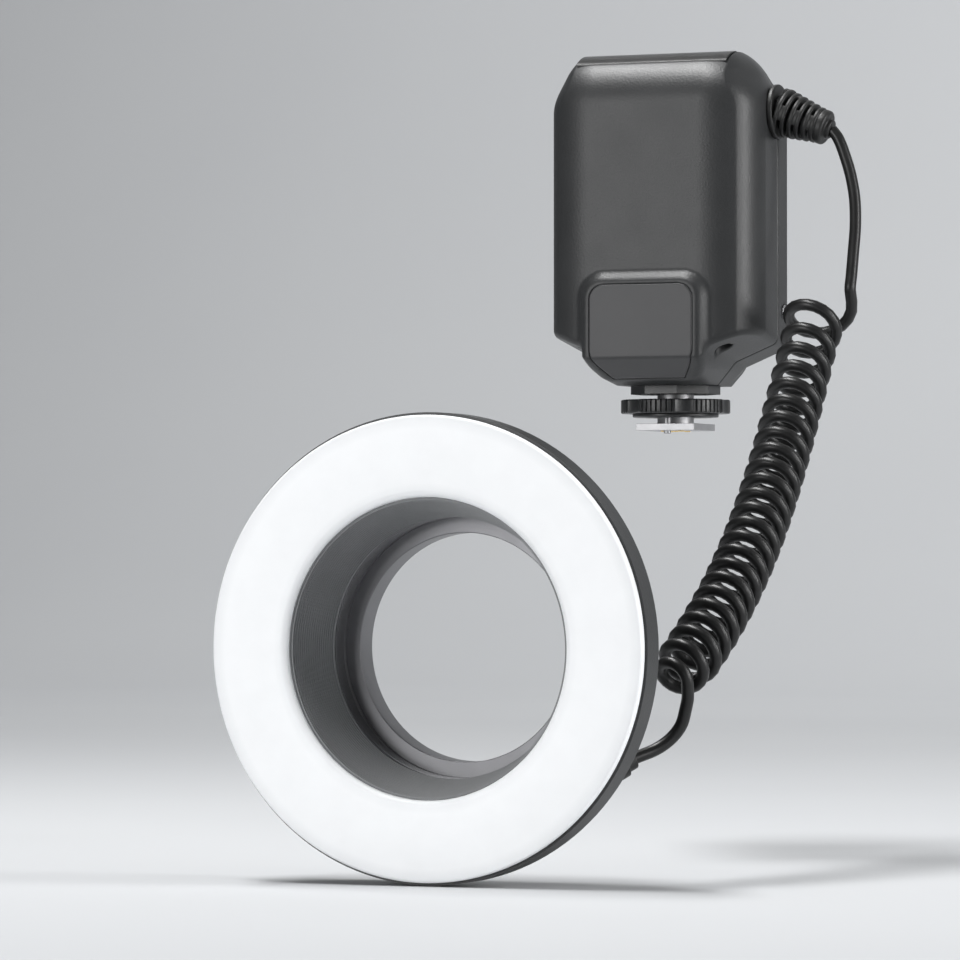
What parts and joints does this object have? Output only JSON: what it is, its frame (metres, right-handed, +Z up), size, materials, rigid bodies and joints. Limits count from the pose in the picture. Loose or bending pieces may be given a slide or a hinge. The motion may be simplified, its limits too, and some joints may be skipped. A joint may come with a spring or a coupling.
{
  "type": "macro ring flash",
  "caption": "Macro ring flash: upright control unit with display, keys and battery door on an accessory-shoe foot, joined by a curly cord to a round light with a lens adapter.",
  "frame": {"origin": "middle of the shoe foot's underside", "axes": "+Z up through the control unit, the light looks along -Y, +X to the right seen from the front of the light"},
  "size_m": [0.1327, 0.2072, 0.24],
  "materials": {
    "shell_plastic": "fine-textured satin black plastic",
    "trim_plastic": "satin black plastic",
    "label_film": "smooth dark film, bare",
    "window_smoke": "smoked satin plastic",
    "lamp_red": "clear red plastic",
    "display_glass": "clear display cover",
    "display_panel": "unlit reflective display",
    "circuit_board": "solder mask",
    "capacitor_sleeve": "shrink sleeve",
    "tray_plastic": "moulded black plastic",
    "cell_wrap": "plain wrapped cell",
    "contact_metal": "nickel plated",
    "steel": "steel",
    "black_screw": "blackened screw",
    "test_red": "red plastic",
    "contact_gold": "gold plated",
    "boot_rubber": "ribbed black rubber",
    "opal": "opal white, lit",
    "baffle_black": "grooved dull black",
    "reflector_white": "white reflector",
    "tube_glass": "clear tube",
    "lamp_chip": "lamp chips",
    "adapter_metal": "black anodised metal",
    "cord_black": "smooth black cord sheath"
  },
  "bodies": {
    "control_unit": {"front_shell": "shell_plastic", "rear_cover": "shell_plastic", "rating_plate": "label_film", "af_window": "window_smoke", "af_lamp": "lamp_red", "lcd_window": "display_glass", "lcd_panel": "display_panel", "main_board": "circuit_board", "main_capacitors": "capacitor_sleeve", "battery_tray": "tray_plastic", "battery_cells": "cell_wrap", "battery_contacts": "contact_metal", "door_pin": "steel", "shoe_collar": "trim_plastic", "hot_shoe_foot": "steel", "shoe_screws": "black_screw", "shell_screws": "black_screw", "cord_boot": "boot_rubber", "sync_jack": "steel", "cord_lead_upper": "cord_black", "cord_coil": "cord_black"},
    "battery_door": {"battery_door": "shell_plastic", "door_contacts": "contact_metal"},
    "clamp": {"clamp_plate": "trim_plastic", "lock_pin": "steel"},
    "ring_head": {"diffuser": "opal", "ring_housing": "shell_plastic", "baffle_sleeve": "baffle_black", "reflector_ring": "reflector_white", "flash_tubes": "tube_glass", "led_board": "circuit_board", "modelling_leds": "lamp_chip", "ring_gland": "boot_rubber", "ring_screws": "black_screw", "cord_lead_lower": "cord_black"},
    "battery_latch": {"battery_latch": "trim_plastic"},
    "mode_key": {"mode_key": "trim_plastic"},
    "ratio_key": {"ratio_key": "trim_plastic"},
    "group_key": {"group_key": "trim_plastic"},
    "lamp_key": {"lamp_key": "trim_plastic"},
    "control_dial": {"control_dial": "trim_plastic"},
    "set_button": {"set_button": "trim_plastic"},
    "power_switch": {"power_switch": "trim_plastic"},
    "test_button": {"test_button": "test_red"},
    "contact_pins": {"contact_pins": "contact_gold"},
    "lock_wheel": {"lock_wheel": "trim_plastic"},
    "latch_upper": {"latch_upper": "trim_plastic"},
    "latch_lower": {"latch_lower": "trim_plastic"},
    "adapter_ring": {"adapter_ring": "adapter_metal"}
  },
  "joints": [
    {"name": "lock_wheel_turn", "type": "hinge", "parent": "clamp", "child": "lock_wheel", "pos_m": [0, 0, 0.0072], "axis": [0, 0, 1], "range_deg": [0, 540]},
    {"name": "clamp_lift", "type": "slide", "parent": "control_unit", "child": "clamp", "axis": [0, 0, 1], "range_m": [0, 0.0015]},
    {"name": "contact_press", "type": "slide", "parent": "control_unit", "child": "contact_pins", "axis": [0, 0, 1], "range_m": [0, 0.0003], "stiffness_N_per_m": 800, "springref_m": -0.0006},
    {"name": "door_swing", "type": "hinge", "parent": "control_unit", "child": "battery_door", "pos_m": [-0.0317, 0.003, 0.0645], "axis": [0, 0, -1], "range_deg": [0, 92]},
    {"name": "door_latch_slide", "type": "slide", "parent": "battery_door", "child": "battery_latch", "axis": [0, 1, 0], "range_m": [0, 0.002], "stiffness_N_per_m": 300, "springref_m": -0.002},
    {"name": "mode_key_press", "type": "slide", "parent": "control_unit", "child": "mode_key", "axis": [0, -1, 0], "range_m": [0, 0.0008], "stiffness_N_per_m": 400, "springref_m": -0.001},
    {"name": "ratio_key_press", "type": "slide", "parent": "control_unit", "child": "ratio_key", "axis": [0, -1, 0], "range_m": [0, 0.0008], "stiffness_N_per_m": 400, "springref_m": -0.001},
    {"name": "group_key_press", "type": "slide", "parent": "control_unit", "child": "group_key", "axis": [0, -1, 0], "range_m": [0, 0.0008], "stiffness_N_per_m": 400, "springref_m": -0.001},
    {"name": "lamp_key_press", "type": "slide", "parent": "control_unit", "child": "lamp_key", "axis": [0, -1, 0], "range_m": [0, 0.0008], "stiffness_N_per_m": 400, "springref_m": -0.001},
    {"name": "set_button_press", "type": "slide", "parent": "control_unit", "child": "set_button", "axis": [0, -1, 0], "range_m": [0, 0.0008], "stiffness_N_per_m": 400, "springref_m": -0.001},
    {"name": "test_button_press", "type": "slide", "parent": "control_unit", "child": "test_button", "axis": [0, -1, 0], "range_m": [0, 0.0008], "stiffness_N_per_m": 400, "springref_m": -0.001},
    {"name": "dial_turn", "type": "hinge", "parent": "control_unit", "child": "control_dial", "pos_m": [0.009, 0.0155, 0.046], "axis": [0, 1, 0], "continuous": true},
    {"name": "power_slide", "type": "slide", "parent": "control_unit", "child": "power_switch", "axis": [1, 0, 0], "range_m": [-0.004, 0]},
    {"name": "ring_reach", "type": "slide", "parent": "control_unit", "child": "ring_head", "axis": [0, -1, 0], "range_m": [-0.03, 0.06], "stiffness_N_per_m": 6, "deforming": ["cord_coil"]},
    {"name": "upper_release", "type": "slide", "parent": "ring_head", "child": "latch_upper", "axis": [0, 0, 1], "range_m": [0, 0.0016], "stiffness_N_per_m": 500, "springref_m": -0.002},
    {"name": "lower_release", "type": "slide", "parent": "ring_head", "child": "latch_lower", "axis": [0, 0, -1], "range_m": [0, 0.0016], "stiffness_N_per_m": 500, "springref_m": -0.002},
    {"name": "adapter_turn", "type": "hinge", "parent": "ring_head", "child": "adapter_ring", "pos_m": [0, -0.164, -0.063], "axis": [0, 1, 0], "continuous": true}
  ],
  "couplings": [
    {"joint": "lock_wheel_turn", "follows": "clamp_lift", "rad_per_m": 6280}
  ]
}
